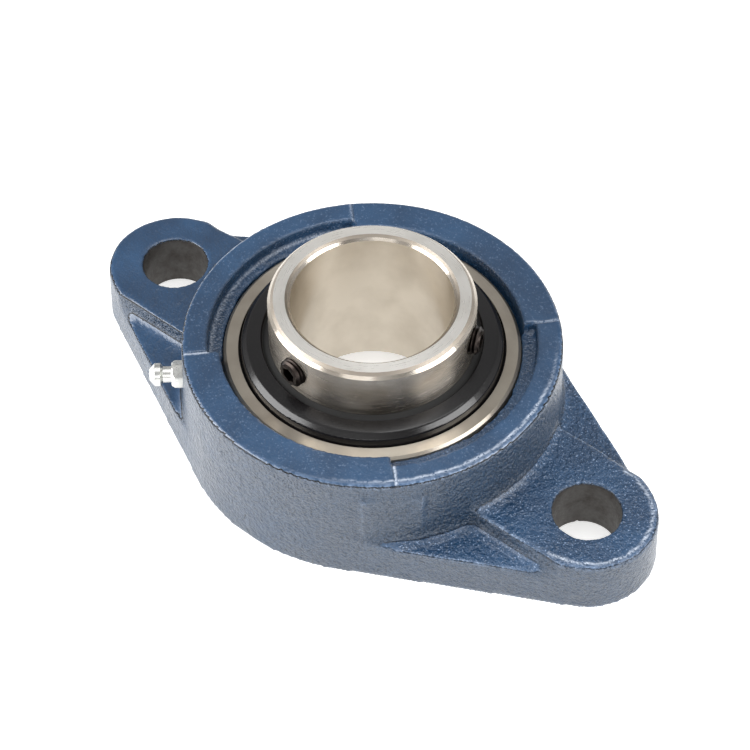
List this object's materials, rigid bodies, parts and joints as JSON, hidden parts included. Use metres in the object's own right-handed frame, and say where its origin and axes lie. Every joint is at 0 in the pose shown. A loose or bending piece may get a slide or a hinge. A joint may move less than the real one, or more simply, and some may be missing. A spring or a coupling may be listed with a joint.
{
  "type": "flange mount bearing",
  "caption": "Oval cast flange housing holding a self-aligning ball bearing insert with a set-screw inner ring, for carrying a shaft at a right angle to a wall.",
  "frame": {"origin": "on the bearing axis, in the plane of the flange's back face", "axes": "+Z along the bearing axis away from the mounting surface, +X along the flange's long axis through both bolt holes"},
  "size_m": [0.188, 0.108, 0.0522],
  "materials": {
    "housing_paint": "satin mid-blue paint over sand-cast iron",
    "bearing_steel": "ground bearing steel",
    "ball_steel": "polished",
    "cage_steel": "pressed sheet steel",
    "shield_black": "satin black coated sheet steel",
    "seal_rubber": "moulded nitrile rubber",
    "black_oxide_steel": "black oxide",
    "plated_steel": "bright zinc plate",
    "spring_steel": "drawn wire"
  },
  "bodies": {
    "housing": {"housing": "housing_paint", "nipple_body": "plated_steel", "nipple_spring": "spring_steel"},
    "insert": {"outer_ring": "bearing_steel", "front_seal_shield": "shield_black", "front_seal_lip": "seal_rubber", "rear_seal_shield": "shield_black", "rear_seal_lip": "seal_rubber"},
    "inner_ring": {"inner_ring": "bearing_steel"},
    "cage": {"cage_front_half": "cage_steel", "cage_rear_half": "cage_steel", "cage_rivets": "cage_steel"},
    "ball_01": {"ball_01": "ball_steel"},
    "ball_02": {"ball_02": "ball_steel"},
    "ball_03": {"ball_03": "ball_steel"},
    "ball_04": {"ball_04": "ball_steel"},
    "ball_05": {"ball_05": "ball_steel"},
    "ball_06": {"ball_06": "ball_steel"},
    "ball_07": {"ball_07": "ball_steel"},
    "ball_08": {"ball_08": "ball_steel"},
    "ball_09": {"ball_09": "ball_steel"},
    "ball_10": {"ball_10": "ball_steel"},
    "set_screw_1": {"set_screw_1": "black_oxide_steel"},
    "set_screw_2": {"set_screw_2": "black_oxide_steel"},
    "nipple_ball": {"nipple_check_ball": "bearing_steel"}
  },
  "joints": [
    {"name": "insert_tilt", "type": "hinge", "parent": "housing", "child": "insert", "pos_m": [0, 0, 0.022], "axis": [0, 1, 0], "range_deg": [-3, 3]},
    {"name": "inner_ring_spin", "type": "hinge", "parent": "insert", "child": "inner_ring", "pos_m": [0, 0, 0.022], "axis": [0, 0, 1], "continuous": true},
    {"name": "cage_spin", "type": "hinge", "parent": "insert", "child": "cage", "pos_m": [0, 0, 0.022], "axis": [0, 0, 1], "continuous": true},
    {"name": "ball_01_spin", "type": "hinge", "parent": "cage", "child": "ball_01", "pos_m": [0.0325, 0, 0.022], "axis": [0, 0, 1], "continuous": true},
    {"name": "ball_02_spin", "type": "hinge", "parent": "cage", "child": "ball_02", "pos_m": [0.02629, 0.0191, 0.022], "axis": [0, 0, 1], "continuous": true},
    {"name": "ball_03_spin", "type": "hinge", "parent": "cage", "child": "ball_03", "pos_m": [0.01004, 0.03091, 0.022], "axis": [0, 0, 1], "continuous": true},
    {"name": "ball_04_spin", "type": "hinge", "parent": "cage", "child": "ball_04", "pos_m": [-0.01004, 0.03091, 0.022], "axis": [0, 0, 1], "continuous": true},
    {"name": "ball_05_spin", "type": "hinge", "parent": "cage", "child": "ball_05", "pos_m": [-0.02629, 0.0191, 0.022], "axis": [0, 0, 1], "continuous": true},
    {"name": "ball_06_spin", "type": "hinge", "parent": "cage", "child": "ball_06", "pos_m": [-0.0325, 0, 0.022], "axis": [0, 0, 1], "continuous": true},
    {"name": "ball_07_spin", "type": "hinge", "parent": "cage", "child": "ball_07", "pos_m": [-0.02629, -0.0191, 0.022], "axis": [0, 0, 1], "continuous": true},
    {"name": "ball_08_spin", "type": "hinge", "parent": "cage", "child": "ball_08", "pos_m": [-0.01004, -0.03091, 0.022], "axis": [0, 0, 1], "continuous": true},
    {"name": "ball_09_spin", "type": "hinge", "parent": "cage", "child": "ball_09", "pos_m": [0.01004, -0.03091, 0.022], "axis": [0, 0, 1], "continuous": true},
    {"name": "ball_10_spin", "type": "hinge", "parent": "cage", "child": "ball_10", "pos_m": [0.02629, -0.0191, 0.022], "axis": [0, 0, 1], "continuous": true},
    {"name": "set_screw_1_travel", "type": "slide", "parent": "inner_ring", "child": "set_screw_1", "axis": [-0.1478, -0.989, 0], "range_m": [-0.0002, 0.003]},
    {"name": "set_screw_2_travel", "type": "slide", "parent": "inner_ring", "child": "set_screw_2", "axis": [0.9304, 0.3665, 0], "range_m": [-0.0002, 0.003]},
    {"name": "nipple_ball_travel", "type": "slide", "parent": "housing", "child": "nipple_ball", "axis": [0.766, 0.6428, 0], "range_m": [0, 0.0008], "stiffness_N_per_m": 400, "springref_m": -0.001, "deforming": ["nipple_spring"]}
  ],
  "couplings": [
    {"joint": "cage_spin", "follows": "inner_ring_spin", "ratio": 0.40231},
    {"joint": "ball_01_spin", "follows": "inner_ring_spin", "ratio": -2.4614},
    {"joint": "ball_02_spin", "follows": "inner_ring_spin", "ratio": -2.4614},
    {"joint": "ball_03_spin", "follows": "inner_ring_spin", "ratio": -2.4614},
    {"joint": "ball_04_spin", "follows": "inner_ring_spin", "ratio": -2.4614},
    {"joint": "ball_05_spin", "follows": "inner_ring_spin", "ratio": -2.4614},
    {"joint": "ball_06_spin", "follows": "inner_ring_spin", "ratio": -2.4614},
    {"joint": "ball_07_spin", "follows": "inner_ring_spin", "ratio": -2.4614},
    {"joint": "ball_08_spin", "follows": "inner_ring_spin", "ratio": -2.4614},
    {"joint": "ball_09_spin", "follows": "inner_ring_spin", "ratio": -2.4614},
    {"joint": "ball_10_spin", "follows": "inner_ring_spin", "ratio": -2.4614}
  ]
}
